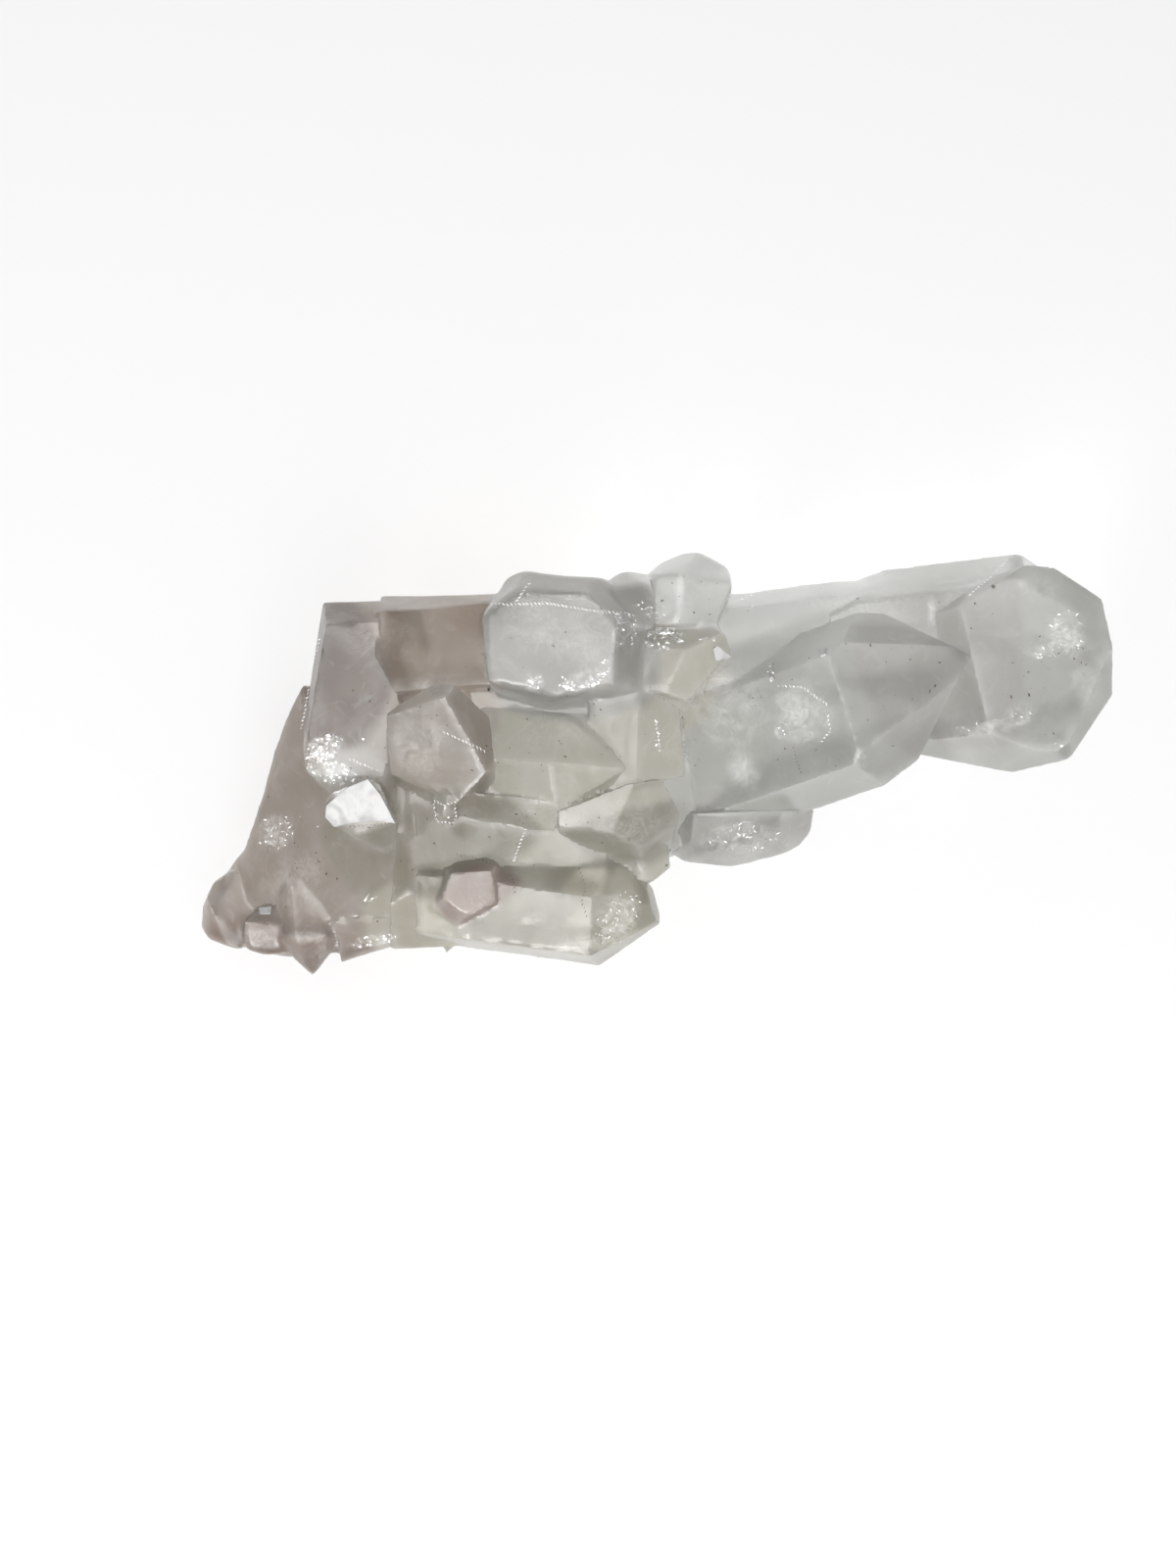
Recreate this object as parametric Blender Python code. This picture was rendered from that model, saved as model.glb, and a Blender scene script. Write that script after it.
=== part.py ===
"""Quartz crystal cluster, lying on its flat cut underside.

Clear and milky quartz points and broken lumps that grew into each other, so the whole is one solid.
Each crystal is modelled on its own as a block with flat faces, and all of them are then joined.
Lengths here are in millimetres. +X runs along the cluster to its two big points, +Y across it,
and +Z up, away from the cut. Headings are degrees anticlockwise from +X, rises degrees above level.
"""
import itertools
import math

import bmesh
import bpy
from mathutils import Matrix, Vector

MM = 0.001
NODE = "quartz_cluster"

# Every quartz crystal has the same angle between its long axis and the way a tip face looks
TIP_FACE_ANGLE = math.radians(51.8)
# A tip face set this far forward never meets the crystal
ABSENT = -14.0

# How far the raw crystals reach below the cut, the block that the cut takes away, and the height
# that a lump's column has before its top faces are cut
ROOT_DEPTH = 3.0
CUT_BLOCK = (300.0, 200.0, 40.0)
COLUMN_TOP = 60.0
FLAT_ANGLE = math.radians(0.4)

# Two corners closer than this are one, and three faces whose normals span less than this meet nowhere
SAME_POINT = 0.002
PARALLEL = 0.001

# Points: the tip, where the long axis heads and how it rises, the length, how far each of the six
# sides stands from the axis, and how far behind the tip each of the six tip faces meets the axis.
# Side 0 looks up, and the others follow round the axis. Turn spins them all about the axis.
# A trim is one more flat face: the way it looks, its rise, and its distance from the tip.
LEAD_POINT = dict(tip=(41.5, 14.0, 30.0), heading=20, rise=34, length=58, turn=-4,
                  sides=(10.5, 13.0, 9.0, 11.0, 8.0, 10.5), setback=(2.0, 0.0, 1.0, 0.0, 0.5, 0.0))
END_POINT = dict(tip=(60.5, 15.5, 27.0), heading=16, rise=47, length=30, turn=-5,
                 sides=(12.5, 14.5, 9.0, 9.0, 8.0, 14.5), setback=(-2.0, -10.5, ABSENT, 1.0, -6.5, -12.5),
                 trims=((-26, 38, 0.5), (-117, 27, 15.5), (0, 11, 0.5), (-34, 9, 3.5), (-99, -7, 19.5),
                        (-68, 0, 13.0)))
REAR_POINT = dict(tip=(60.0, 20.5, 14.0), heading=6.5, rise=4, length=36, turn=0,
                  sides=(9.0, 9.0, 9.0, 8.0, 8.0, 8.5), setback=(0.0, 0.0, 0.0, 0.0, -1.0, -2.0),
                  trims=((118, 18, 17.5), (110, 5, 15.8)))
REAR_STEM = dict(tip=(39.5, 22.5, 13.0), heading=6.5, rise=3, length=46, turn=-10,
                 sides=(6.4, 11.0, 10.0, 7.0, 3.5, 3.95), setback=(0.0,) * 6)
CENTRE_POINT = dict(tip=(-4.5, -1.0, 33.0), heading=-5, rise=28, length=21, turn=-30,
                    sides=(6.0,) + (6.3,) * 5, setback=(0.0,) * 6)
LOWER_POINT = dict(tip=(2.3, -20.2, 26.3), heading=-7, rise=10, length=34, turn=-41,
                   sides=(7.4, 8.1, 8.0, 8.0, 8.0, 6.5), setback=(0.0,) * 6, trims=((17, 12, -2.6),))
STANDING_POINT = dict(tip=(-28.0, 8.0, 38.0), heading=80, rise=68, length=24, turn=-15,
                      sides=(8.6, 9.5, 6.0, 3.2, 4.5, 7.5), setback=(0.0, ABSENT) * 3)
CLEAR_POINT = dict(tip=(-22.4, -14.4, 33.5), heading=42, rise=56, length=13, turn=10,
                   sides=(4.4, 3.8, 4.2, 4.6, 3.8, 4.2), setback=(0.5, -1.5, 0.0, -1.0, 0.5, -2.0),
                   trims=((-70, 72, -0.6),))
CORNER_POINT = dict(tip=(-48.0, -30.0, 13.5), heading=272, rise=6, length=14, turn=-8,
                    sides=(4.4,) * 6, setback=(0.0,) * 6)
POINTS = (LEAD_POINT, END_POINT, REAR_POINT, REAR_STEM, CENTRE_POINT, LOWER_POINT, STANDING_POINT,
          CLEAR_POINT, CORNER_POINT)

# Small even points low down round the sides: tip, heading, rise, length, radius and turn
SIDE_POINTS = (
    ((-32.5, 22.5, 13.0), 98, 6, 26, 5.0, 12),
    ((-15.0, 24.5, 16.0), 84, 12, 28, 6.0, -8),
    ((-22.5, 22.5, 9.0), 112, -2, 24, 4.0, 20),
    ((2.5, 25.5, 11.0), 66, 8, 22, 4.2, 5),
    ((-7.0, 23.0, 7.0), 80, -4, 22, 3.6, 0),
    ((-15.5, -25.5, 12.0), -70, 4, 26, 5.2, 10),
    ((-29.5, -27.0, 8.0), -98, 2, 26, 5.0, -5),
    ((-0.5, -15.5, 13.0), -48, 6, 22, 4.4, 0),
    ((12.5, -13.0, 7.0), -30, 2, 24, 4.0, 15),
    ((-39.0, -25.5, 6.0), -80, 0, 20, 3.6, 0),
    ((-53.5, -3.0, 8.0), 172, 6, 20, 4.4, 0),
    ((-50.0, 6.0, 11.0), 150, 10, 20, 4.6, 10),
    ((-57.5, -13.0, 6.0), 188, 4, 18, 3.6, 20),
)

# Lumps: crystals whose tips are broken off or grown over. Each has an outline as seen from above,
# a lowest level, the level of its widest belt, how much narrower it is at the bottom, a middle,
# and the flat faces on top: the way each looks, its rise, and its distance from the middle.
UPPER_LUMP = dict(middle=(-13.0, 16.5, 20.0), low=6.0, belt=20, foot=0.5,
                  outline=((-23.5, 19.0), (-20.5, 24.0), (-18.0, 25.0), (-7.5, 24.0), (-2.0, 17.5),
                           (-2.5, 9.5), (-9.5, 8.0), (-14.5, 6.5), (-21.5, 7.5), (-22.5, 10.0)),
                  faces=((-123, 73, 15.2), (91, 26, 12.2), (130, 15, 12.0), (42, 24, 12.6), (-9, 30, 14.5),
                         (-83, 12, 10.5), (-104, 14, 11.0)))
PEAK_LUMP = dict(middle=(4.0, 23.0, 18.0), low=5.2, belt=16, foot=0.5,
                 outline=((-1.5, 25.5), (0.0, 27.0), (3.5, 28.5), (5.5, 28.5), (9.5, 26.5), (10.0, 23.5),
                          (7.5, 18.0), (-1.5, 18.0)),
                 faces=((170, 63, 9.5), (-6, 54, 7.5), (108, 14, 5.0), (61, 27, 5.5)))
NOTCH_LUMP = dict(middle=(-4.5, 22.0, 25.0), low=12, belt=22, foot=0.6,
                  outline=((-7.0, 24.0), (-4.5, 25.5), (-2.5, 25.5), (-1.0, 24.3), (-0.8, 17.2), (-6.0, 17.5)),
                  faces=((57, 61, 6.0), (93, 20, 3.0)))
DUSKY_LUMP = dict(middle=(-30.5, 15.5, 18.0), low=5.6, belt=18, foot=0.5,
                  outline=((-38.0, 22.5), (-21.5, 22.5), (-21.0, 17.0), (-21.0, 10.5), (-35.0, 9.0),
                           (-37.5, 14.0)),
                  faces=((75, 72, 10.0), (93, 19, 7.5)))
LEFT_LUMP = dict(middle=(-42.5, 10.5, 20.0), low=4.8, belt=20, foot=0.5,
                 outline=((-45.5, 21.5), (-37.0, 21.5), (-37.0, 14.5), (-34.5, 7.5), (-37.0, -2.0),
                          (-44.5, -4.5), (-47.5, -1.5), (-48.0, 3.0)),
                 faces=((-8, 71, 10.0), (-89, 82, 8.0), (171, 14, 5.0), (92, 27, 11.0), (-90, 42, 13.5)))
BRIGHT_LUMP = dict(middle=(-41.0, -7.5, 20.0), low=7.0, belt=10, foot=0.9,
                   outline=((-44.0, -4.5), (-38.3, -2.2), (-37.0, -3.0), (-35.0, -8.0), (-35.5, -11.0),
                            (-37.0, -12.5), (-43.5, -8.5), (-44.5, -6.0)),
                   faces=((-107, 64, 7.5), (-87, 44, 7.0)))
FLANK_LUMP = dict(middle=(-44.5, -10.0, 10.0), low=-ROOT_DEPTH, belt=7, foot=0.75,
                  outline=((-48.5, 10.5), (-53.0, 1.5), (-55.5, -7.0), (-57.0, -11.5), (-63.0, -19.0),
                           (-63.0, -25.0), (-52.0, -27.5), (-36.0, -25.5), (-32.5, -11.0), (-33.5, 2.5),
                           (-36.5, 10.5)),
                  faces=((179, 58, 9.5), (-145, 55, 9.5), (-104, 49, 12.5), (-174, 51, 9.0), (177, 50, 10.0)))
OUTER_LUMP = dict(middle=(-61.5, -21.5, 8.0), low=-ROOT_DEPTH, belt=4, foot=0.6,
                  outline=((-62.0, -17.0), (-64.0, -20.5), (-64.5, -23.5), (-63.0, -25.0), (-58.0, -26.5),
                           (-56.5, -16.5), (-58.0, -14.5)),
                  faces=((-150, 51, 3.0), (-174, 24, 2.5), (20, 75, 3.2)))
KNOB_LUMP = dict(middle=(-54.5, -24.0, 12.0), low=2, belt=8, foot=0.6,
                 outline=((-57.5, -22.5), (-56.5, -21.0), (-54.5, -20.0), (-51.0, -20.5), (-50.0, -24.5),
                          (-51.0, -26.5), (-54.5, -27.0), (-57.5, -26.0)),
                 faces=((-93, 45, 3.0), (-90, 70, 2.5), (80, 55, 3.5)))
CHIP_LUMP = dict(middle=(-40.0, -25.0, 10.0), low=2, belt=8, foot=0.7,
                 outline=((-44.0, -28.0), (-36.5, -25.5), (-36.0, -21.0), (-44.0, -22.0)),
                 faces=((-89, 34, 3.6), (-104, 49, 4.2)))
STEP_LUMP = dict(middle=(-20.0, -6.5, 28.0), low=10, belt=20, foot=1.0,
                 outline=((-25.0, -4.0), (-13.0, -5.5), (-14.0, -9.5), (-18.5, -9.0), (-30.5, -8.5)),
                 faces=((-104, 46, 2.0),))
MIDDLE_LUMP = dict(middle=(-5.5, -9.5, 25.0), low=8, belt=22, foot=0.6,
                   outline=((-13.5, -6.5), (-9.5, -5.0), (-4.5, -3.0), (0.0, -2.5), (2.5, -7.0), (1.0, -12.5),
                            (-2.0, -16.0), (-6.5, -13.0), (-13.5, -9.5)),
                   faces=((-88, 75, 9.5), (-42, 53, 7.5), (-96, 31, 5.0), (-53, 28, 6.0)))
GROOVED_LUMP = dict(middle=(11.5, -10.0, 12.0), low=3, belt=9, foot=0.6,
                    outline=((1.5, -12.5), (4.5, -7.0), (21.5, -6.5), (21.5, -10.0), (20.0, -11.5),
                             (16.5, -13.0), (10.5, -14.5), (4.0, -14.0)),
                    faces=((-89, 50, 5.0), (-43, 29, 6.0), (-80, 24, 3.5), (-160, 31, 9.0)))
GLINT_LUMP = dict(middle=(3.5, 13.0, 20.0), low=6.4, belt=20, foot=0.6,
                  outline=((-3.2, 18.7), (8.0, 18.5), (9.5, 14.5), (3.5, 8.0), (-3.0, 9.5)),
                  faces=((160, 76, 11.0), (-14, 53, 8.5), (-27, 59, 9.0), (97, 26, 6.5)))
SADDLE_LUMP = dict(middle=(-3.0, 3.0, 18.0), low=4.4, belt=12, foot=0.9,
                   outline=((-9.5, 8.0), (-2.5, 10.0), (2.5, 7.0), (3.5, -2.0), (-4.5, -3.5), (-9.5, -3.5)),
                   faces=((167, 78, 12.5), (2, 56, 10.5), (-11, 68, 12.5)))
SLAB_LUMP = dict(middle=(-25.5, -9.5, 20.0), low=2, belt=14, foot=0.6,
                 outline=((-35.0, -2.0), (-26.5, -2.0), (-7.5, -3.2), (-7.0, -14.5), (-15.0, -24.5),
                          (-36.5, -25.5)),
                 faces=((144, 85, 8.5), (-90, 50, 11.0), (-168, 66, 10.8)))
RIDGE_LUMP = dict(middle=(-16.0, 6.0, 18.0), low=7.5, belt=14, foot=0.8,
                  outline=((-25.5, 9.2), (-10.0, 9.6), (-3.6, 8.6), (-3.4, 1.5), (-24.0, 1.0)),
                  faces=((-95, 78, 7.0), (-92, 60, 7.4)))
CHIP_BLOCK = dict(middle=(-28.4, -6.0, 29.0), low=12, belt=26, foot=0.8,
                  outline=((-29.9, -4.1), (-27.1, -4.4), (-26.7, -7.4), (-28.2, -8.3), (-29.5, -7.6)),
                  faces=((-70, 66, 2.4), (-170, 50, 2.0)))
CORNER_LUMP = dict(middle=(-1.6, -13.2, 26.0), low=8.6, belt=22, foot=0.55,
                   outline=((-4.6, -12.4), (-2.0, -10.1), (0.9, -11.6), (1.3, -14.2), (-1.0, -16.1),
                            (-4.0, -15.3)),
                   faces=((-60, 66, 2.6), (-130, 40, 3.0)))
ROOT_LUMP = dict(middle=(-23.5, -3.0, 10.0), low=-ROOT_DEPTH, belt=9, foot=0.78,
                 outline=((-46.5, 12.0), (4.0, 17.0), (13.0, 11.0), (9.0, -8.5), (-4.0, -16.0),
                          (-34.5, -25.0), (-47.0, -24.5), (-49.5, -7.0)),
                 faces=((160, 66, 8.5), (0, 70, 15.0)))
LUMPS = (UPPER_LUMP, PEAK_LUMP, NOTCH_LUMP, DUSKY_LUMP, LEFT_LUMP, BRIGHT_LUMP, FLANK_LUMP, OUTER_LUMP,
         KNOB_LUMP, CHIP_LUMP, STEP_LUMP, MIDDLE_LUMP, GROOVED_LUMP, GLINT_LUMP, SADDLE_LUMP, SLAB_LUMP,
         RIDGE_LUMP, CHIP_BLOCK, CORNER_LUMP, ROOT_LUMP)


def direction(heading, rise):
    """Unit vector with this heading and rise in degrees."""
    level = math.cos(math.radians(rise))
    turn = math.radians(heading)
    return Vector((level * math.cos(turn), level * math.sin(turn), math.sin(math.radians(rise))))


def slice_off(shape, point, normal):
    """Cuts away all that lies beyond a plane and closes the solid with a flat face."""
    everything = shape.verts[:] + shape.edges[:] + shape.faces[:]
    cut = bmesh.ops.bisect_plane(shape, geom=everything, plane_co=point, plane_no=normal,
                                 clear_outer=True, dist=1e-6)
    rim = [item for item in cut["geom_cut"] if isinstance(item, bmesh.types.BMEdge)]
    if rim:
        bmesh.ops.holes_fill(shape, edges=rim, sides=0)


def point_crystal(tip, heading, rise, length, turn, sides, setback, trims=()):
    """A six-sided crystal with up to six faces on its tip, as a closed bmesh."""
    tip = Vector(tip)
    axis = direction(heading, rise)
    up = Vector((0, 0, 1))
    across = (up - axis * up.dot(axis)).normalized()
    beside = axis.cross(across)
    flats = [(-axis, tip - axis * length)]
    for number, (side, back) in enumerate(zip(sides, setback)):
        angle = math.radians(turn + 60 * number)
        outward = across * math.cos(angle) + beside * math.sin(angle)
        flats.append((outward, tip + outward * side))
        flats.append((axis * math.cos(TIP_FACE_ANGLE) + outward * math.sin(TIP_FACE_ANGLE), tip - axis * back))
    for looks, lifts, distance in trims:
        face = direction(looks, lifts)
        flats.append((face, tip + face * distance))
    return solid_between(flats)


def solid_between(flats):
    """The closed solid that a set of flat faces encloses, each face an outward normal and a point."""
    corners = []
    for trio in itertools.combinations(flats, 3):
        normals = Matrix([normal for normal, point in trio])
        if abs(normals.determinant()) < PARALLEL:
            continue
        corner = normals.inverted() @ Vector([normal.dot(point) for normal, point in trio])
        inside = all(normal.dot(corner - point) < SAME_POINT for normal, point in flats)
        if inside and all((corner - other).length > SAME_POINT for other in corners):
            corners.append(corner)
    shape = bmesh.new()
    for corner in corners:
        shape.verts.new(corner)
    bmesh.ops.convex_hull(shape, input=shape.verts)
    bmesh.ops.dissolve_limit(shape, angle_limit=FLAT_ANGLE, verts=shape.verts, edges=shape.edges)
    return shape


def lump_crystal(middle, low, belt, foot, outline, faces):
    """A column over an outline, narrower at its foot, with flat faces cut on its top."""
    middle = Vector(middle)
    centre_x = sum(x for x, y in outline) / len(outline)
    centre_y = sum(y for x, y in outline) / len(outline)
    shape = bmesh.new()
    rings = []
    for level, width in ((low, foot), (belt, 1.0), (COLUMN_TOP, 1.0)):
        ring = [shape.verts.new((centre_x + (x - centre_x) * width, centre_y + (y - centre_y) * width, level))
                for x, y in outline]
        rings.append(ring)
    count = len(outline)
    for lower, upper in zip(rings, rings[1:]):
        for k in range(count):
            following = (k + 1) % count
            shape.faces.new((lower[k], lower[following], upper[following], upper[k]))
    shape.faces.new(rings[0])
    shape.faces.new(rings[-1])
    bmesh.ops.recalc_face_normals(shape, faces=shape.faces)
    for looks, lifts, distance in faces:
        face = direction(looks, lifts)
        slice_off(shape, middle + face * distance, face)
    return shape


def add_object(name, shape):
    """Turns a closed bmesh in millimetres into an object in metres."""
    bmesh.ops.scale(shape, vec=(MM, MM, MM), verts=shape.verts)
    bmesh.ops.recalc_face_normals(shape, faces=shape.faces)
    mesh = bpy.data.meshes.new(name)
    shape.to_mesh(mesh)
    shape.free()
    thing = bpy.data.objects.new(name, mesh)
    bpy.context.collection.objects.link(thing)
    return thing


def combine(body, other, operation):
    """Applies one exact Boolean to the body and removes the other object."""
    step = body.modifiers.new("combine", "BOOLEAN")
    step.operation = operation
    step.solver = "EXACT"
    step.object = other
    result = bpy.data.meshes.new_from_object(body.evaluated_get(bpy.context.evaluated_depsgraph_get()))
    body.modifiers.clear()
    old = body.data
    body.data = result
    bpy.data.meshes.remove(old)
    spent = other.data
    bpy.data.objects.remove(other)
    bpy.data.meshes.remove(spent)


def islands(shape):
    """The separate closed shells of a bmesh, as lists of faces."""
    waiting = set(shape.faces)
    shells = []
    while waiting:
        stack = [waiting.pop()]
        shell = []
        while stack:
            face = stack.pop()
            shell.append(face)
            for edge in face.edges:
                for neighbour in edge.link_faces:
                    if neighbour in waiting:
                        waiting.remove(neighbour)
                        stack.append(neighbour)
        shells.append(shell)
    return shells


def settle(body):
    """Keeps the outer shell, tidies its flat faces and stands it on the origin."""
    shape = bmesh.new()
    shape.from_mesh(body.data)
    shells = sorted(islands(shape), key=lambda shell: sum(face.calc_area() for face in shell))
    for shell in shells[:-1]:
        bmesh.ops.delete(shape, geom=shell, context="FACES")
    bmesh.ops.dissolve_limit(shape, angle_limit=FLAT_ANGLE, verts=shape.verts, edges=shape.edges)
    low = [min(vert.co[k] for vert in shape.verts) for k in range(3)]
    high = [max(vert.co[k] for vert in shape.verts) for k in range(3)]
    centre = Vector(((low[0] + high[0]) / 2, (low[1] + high[1]) / 2, low[2]))
    bmesh.ops.translate(shape, verts=shape.verts, vec=-centre)
    bmesh.ops.triangulate(shape, faces=shape.faces)
    shape.to_mesh(body.data)
    shape.free()


def quartz_material():
    """Milky to clear quartz."""
    material = bpy.data.materials.new("quartz")
    material.use_nodes = True
    shader = material.node_tree.nodes["Principled BSDF"]
    shader.inputs["Base Color"].default_value = (0.86, 0.87, 0.86, 1.0)
    shader.inputs["Roughness"].default_value = 0.22
    shader.inputs["Metallic"].default_value = 0.0
    shader.inputs["IOR"].default_value = 1.544
    shader.inputs["Transmission Weight"].default_value = 0.6
    return material


def side_point(tip, heading, rise, length, radius, turn):
    """A small crystal with six equal sides and six equal tip faces."""
    return point_crystal(tip, heading, rise, length, turn, (radius,) * 6, (0.0,) * 6)


def main():
    for old in list(bpy.data.objects):
        bpy.data.objects.remove(old)
    shapes = [lump_crystal(**lump) for lump in reversed(LUMPS)]
    shapes += [point_crystal(**point) for point in POINTS]
    shapes += [side_point(*small) for small in SIDE_POINTS]
    body = add_object(NODE, shapes[0])
    for shape in shapes[1:]:
        combine(body, add_object("grown_in", shape), "UNION")
    block = bmesh.new()
    bmesh.ops.create_cube(block, size=1.0)
    bmesh.ops.scale(block, vec=CUT_BLOCK, verts=block.verts)
    bmesh.ops.translate(block, verts=block.verts, vec=(0.0, 0.0, -CUT_BLOCK[2] / 2))
    combine(body, add_object("cut_block", block), "DIFFERENCE")
    settle(body)
    body.data.materials.clear()
    body.data.materials.append(quartz_material())


main()
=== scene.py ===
"""Looks of the quartz crystal cluster: its surface, what is sealed in it, the light and the camera.

Lengths are in millimetres until a mesh is made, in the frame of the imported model: +X towards the two
big points, +Z up. Headings are degrees anticlockwise from +X, rises degrees above level. A pixel is one
of the photograph's, and stands for the place on the quartz that shows there.
"""
import math
import random

import bmesh
import bpy
import numpy as np
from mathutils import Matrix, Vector, noise
from mathutils.bvhtree import BVHTree


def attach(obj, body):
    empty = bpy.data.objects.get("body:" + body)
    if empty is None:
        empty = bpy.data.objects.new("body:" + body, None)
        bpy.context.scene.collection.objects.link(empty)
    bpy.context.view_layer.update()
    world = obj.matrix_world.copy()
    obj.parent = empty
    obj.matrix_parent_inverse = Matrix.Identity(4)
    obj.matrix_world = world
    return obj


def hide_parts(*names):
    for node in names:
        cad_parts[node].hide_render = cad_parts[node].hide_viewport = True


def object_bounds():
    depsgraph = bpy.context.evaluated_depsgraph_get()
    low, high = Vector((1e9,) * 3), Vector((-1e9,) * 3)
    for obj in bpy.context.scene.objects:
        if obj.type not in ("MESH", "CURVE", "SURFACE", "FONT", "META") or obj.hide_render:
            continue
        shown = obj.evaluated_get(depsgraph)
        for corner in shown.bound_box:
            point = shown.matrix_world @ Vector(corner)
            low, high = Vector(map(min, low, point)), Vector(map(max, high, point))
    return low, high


MM = 0.001
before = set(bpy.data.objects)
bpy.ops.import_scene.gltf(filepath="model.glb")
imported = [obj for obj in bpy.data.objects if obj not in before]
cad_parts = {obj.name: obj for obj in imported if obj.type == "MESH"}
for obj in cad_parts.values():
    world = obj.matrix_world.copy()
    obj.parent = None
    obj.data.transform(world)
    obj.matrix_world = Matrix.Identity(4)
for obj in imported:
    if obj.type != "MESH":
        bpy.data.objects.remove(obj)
cad_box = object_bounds()

# Noise vectors start from the clock unless they are given a seed
NOISE_SEED = 5
noise.seed_set(NOISE_SEED)

# The camera looks straight down. Its lens makes the photograph's 7.5 pixels a millimetre at 20 mm above
# the floor. Its clip start is in metres.
CAMERA_PLACE = Vector((-7.843, -2.530, 350.0))
FOCUS_DISTANCE = 330.0
PIXELS_PER_MM = 7.5
PHOTO_SIZE = (1200, 1600)
SENSOR = 36.0
CLIP_START = 0.01

# The studio, in metres and watts
FLOOR_HALF = 3.0
FLOOR_LEVEL = -0.0002
SKY_STRENGTH = 0.32
LIGHT_TARGET = Vector((0.0, 0.0, 0.02))
TOP_LIGHT = dict(place=(-0.10, -0.40, 0.85), size=(1.0, 1.0), power=10.2)
GLINT_LIGHT = dict(place=(-0.20, -0.47, 0.36), size=(0.12, 0.12), power=0.6, seen_by_matt=False)

# How far quartz bends light, and how dense the haze in it is
IOR = 1.544
HAZE_DENSITY = 50.0

# The quartz's tints, by crystal. The tip's tint is painted shade that darkens the big front point's tip,
# and the warm and pink tints on the left side are partly the quartz's tone, partly a painted warm glow.
COOL = (0.512, 0.512, 0.49)
CLEAR = (0.69, 0.69, 0.675)
TIP_PAINTED_SHADE = (0.435, 0.425, 0.405)
SLATE = (0.365, 0.357, 0.335)
STRAW = (0.415, 0.373, 0.328)
GREENISH = (0.527, 0.503, 0.427)
OLIVE = (0.27, 0.25, 0.20)
WARM_TONE_AND_GLOW = (0.35, 0.305, 0.265)
DUSKY = (0.334, 0.27, 0.219)
BROWN = (0.12, 0.08, 0.06)
RUSSET = (0.27, 0.20, 0.16)
PINK_TONE_AND_GLOW = (0.30, 0.20, 0.17)

# The other shades: milky and frosted quartz, its haze, the grey and white of the painted glints, dust and the
# floor
MILK = (0.97, 0.97, 0.965, 1.0)
FROST = (0.99, 0.99, 0.985, 1.0)
HAZE = (0.80, 0.80, 0.79, 1.0)
GLINT_GREY = (0.50, 0.495, 0.485, 1.0)
GLINT_WHITE = (0.74, 0.74, 0.73, 1.0)
DUST_DARK = (0.10, 0.08, 0.06, 1.0)
DUST_LIGHT = (0.26, 0.23, 0.20, 1.0)
FLOOR_SHADE = (0.92, 0.92, 0.92, 1.0)
WHITE = (1.0, 1.0, 1.0, 1.0)

# The net of the surface: each step of depth halves its cells, and fill is the share of its grid that the
# solid takes up. Edges sharper than the angle stay sharp.
NET_DEPTH = 8
NET_FILL = 0.9
SHARP_ANGLE = 22.0

# Bends in the surface: how far apart their swings are, and how far they move it. Where crystals meet, the
# close bend grows to the seam's and the ragged one is added.
BROAD_BEND = 11.0
BROAD_REACH = 0.40
CLOSE_BEND = 5.0
CLOSE_REACH = 0.10
SEAM_REACH = 0.35
RAGGED_BEND = 2.2
RAGGED_REACH = 0.22

# Chips along the edges, and growth lines across a crystal: their spacing and their depth. Growth lines also
# change slowly over the drift, and chips cover more of the edges as contrast and cover grow.
CHIP_SPACING = 2.2
CHIP_CONTRAST = 1.6
CHIP_COVER = 0.1
CHIP_DEPTH = 0.45
GROWTH_SPACING = 1.8
GROWTH_DRIFT = 9.0
GROWTH_DEPTH = 0.10

# A corner that its neighbours' mean lies this far off is fully in a hollow, or fully on a ridge. Each round
# of softening moves a corner this share of the way to that mean.
FULL_FOLD = 0.1
SOFT_PULL = 0.5

# How many rounds of blurring the crystals' nature and their tints get where they meet
NATURE_BLUR = 3
TINT_BLUR = 4

# How white the skin gets: in hollows, on ridges, and by the clouds, wisps and broken streaks of the shader
HOLLOW_FROST = 0.2
RIDGE_FROST = 0.15
CLOUD_SHARE = 0.16
WISP_SHARE = 0.10
STREAK_SHARE = 0.42

# How much rougher frosted skin is, the bumps of growth lines and of the skin in metres, and the spacing of
# the growth lines in that bump
FROST_ROUGHNESS = 0.2
LINE_BUMP = 0.00001
SKIN_BUMP = 0.000006
LINES_PER_MM = 1.6

# The broken skin over a veil ends at this much of its oval, squared, and fades on faces so steep that their
# normal rises by less than one part in this many
BROKEN_END = 1.3
STEEP = 4.0

# Veils: the rings and corners of each one's net, how far its outline strays from an oval and in how many
# lobes, its depth and how far that varies, its least depth, its thickness, and the pixels between its
# waves. A corner with no quartz at its pixel keeps this share of its way out, until it finds some.
VEIL_RINGS = 7
VEIL_AROUND = 22
VEIL_STRAY = 0.35
VEIL_LOBES = 1.5
VEIL_DEPTH = 0.6
VEIL_TILT = 0.3
VEIL_LEAST_DEPTH = 0.2
VEIL_THICKNESS = 0.25
VEIL_WAVE = 25.0
VEIL_SHRINK = 0.95

# What starts the random draws of each kind of piece
CRACK_SEED = 11
THREAD_SEED = 5
SPECK_SEED = 3

# Flakes and threads lean this way on the whole. Flakes stray from it by these spreads, in degrees.
LEAN_HEADING = -135.0
HEADING_SPREAD = 60
FLAKE_RISE = 78
FLAKE_SPREAD = 12
THREAD_RISE = 82
FLAKE_DEPTH = (-0.05, 0.30)
FLAKE_THICKNESS = 0.03

# Threads are rows of dashes: the pixels between their middles, the share of that which each one reaches to
# either side, how far they stray in pixels and in radians, and the widths of bright and dark ones
DASH_SPACING = 4
DASH_REACH = 0.62
DASH_STRAY = 0.4
DASH_TURN = 0.1
BRIGHT_WIDTH = 0.18
DARK_WIDTH = 0.14

# Painted glints, flat white plates standing in for facets that catch the light, lie this far above the quartz
# at their middle, and are thick enough to reach into it
GLINT_RAISE = 0.10
GLINT_THICKNESS = 0.60

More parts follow.
